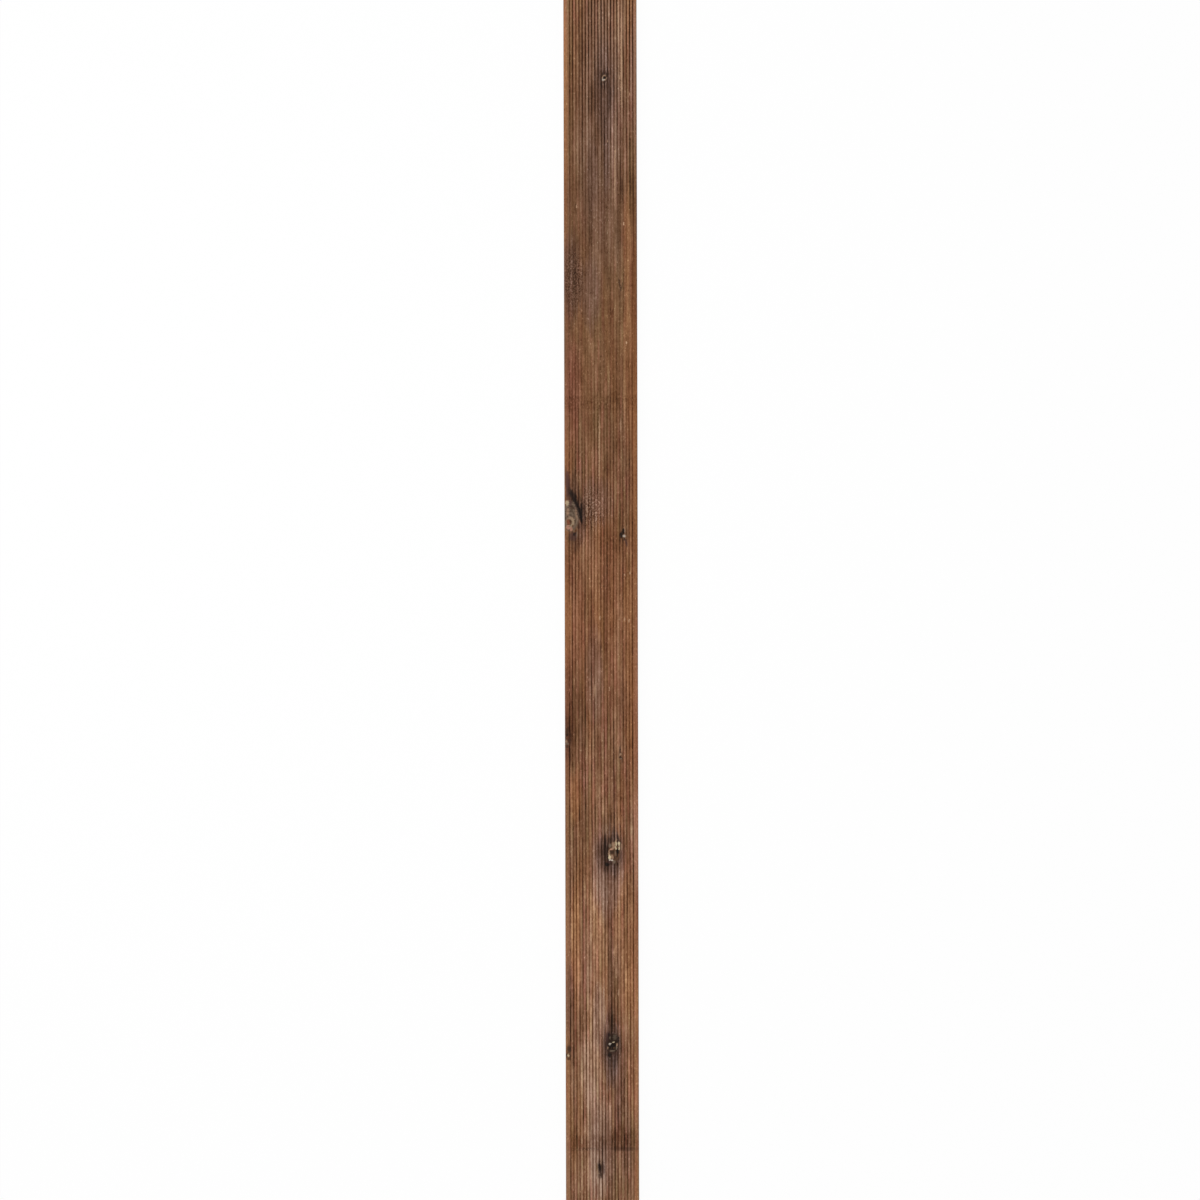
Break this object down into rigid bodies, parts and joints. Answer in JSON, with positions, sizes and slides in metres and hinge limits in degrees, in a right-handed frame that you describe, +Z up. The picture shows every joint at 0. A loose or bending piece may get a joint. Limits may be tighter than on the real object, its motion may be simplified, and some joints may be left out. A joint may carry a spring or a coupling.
{
  "type": "decking board",
  "caption": "Long flat softwood board with a fine-ribbed walking face, rounded long edges and a flat back; laid across joists to make an outdoor deck.",
  "frame": {"origin": "middle of the flat underside", "axes": "+X across the board, +Y along its length, +Z up out of the ribbed walking face"},
  "size_m": [0.145, 2.4, 0.028],
  "materials": {
    "treated_pine": "brown pressure-treated softwood, planed and ribbed, matte, darker in the grooves"
  },
  "bodies": {
    "root": {"decking_board": "treated_pine"}
  },
  "joints": []
}
